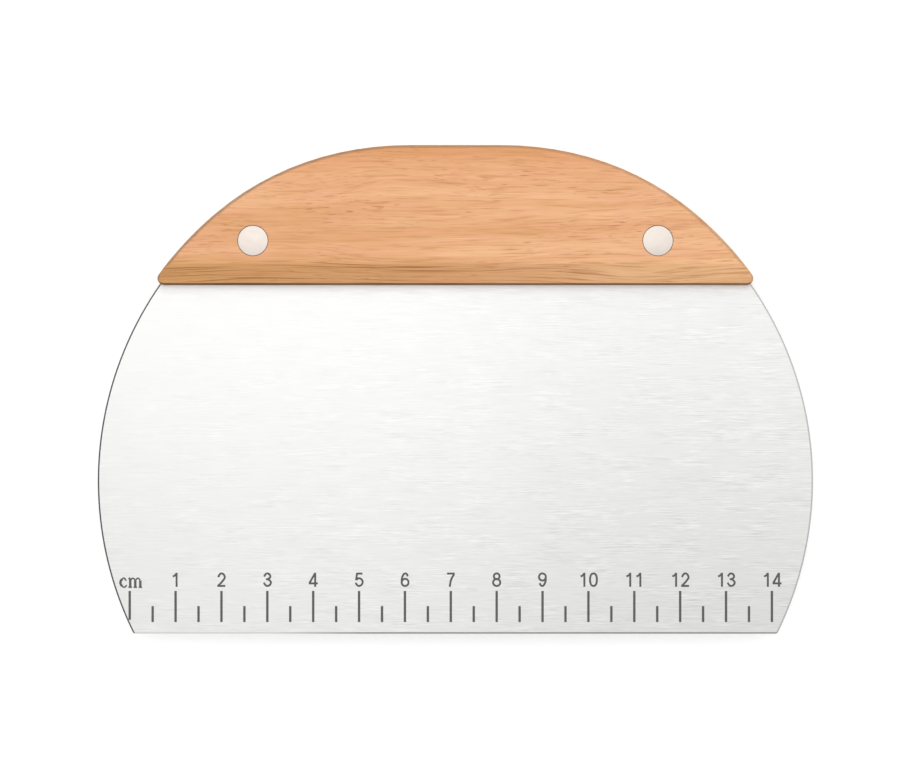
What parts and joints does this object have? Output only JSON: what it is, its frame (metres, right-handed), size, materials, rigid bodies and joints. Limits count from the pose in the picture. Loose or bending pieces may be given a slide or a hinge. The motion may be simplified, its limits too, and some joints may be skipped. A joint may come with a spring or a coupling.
{
  "type": "dough scraper",
  "caption": "Half-moon dough scraper: a thin stainless sheet blade with round sides and a straight working edge, riveted flush into the saw kerf of an arched wooden handle.",
  "frame": {"origin": "middle of the straight working edge, in the middle of the sheet's thickness", "axes": "+X along the working edge to the right as seen from the graduated front, +Y from the working edge to the handle, +Z out of the graduated front, which faces up as the scraper lies on its back"},
  "size_m": [0.156, 0.1064, 0.016],
  "materials": {
    "blade_steel": "hairline brushed",
    "handle_wood": "oiled, satin",
    "rivet_metal": "satin, ground flush"
  },
  "bodies": {
    "root": {"blade": "blade_steel", "handle": "handle_wood", "rivet_post_left": "rivet_metal", "rivet_post_right": "rivet_metal", "rivet_sleeve_left": "rivet_metal", "rivet_sleeve_right": "rivet_metal"}
  },
  "joints": []
}
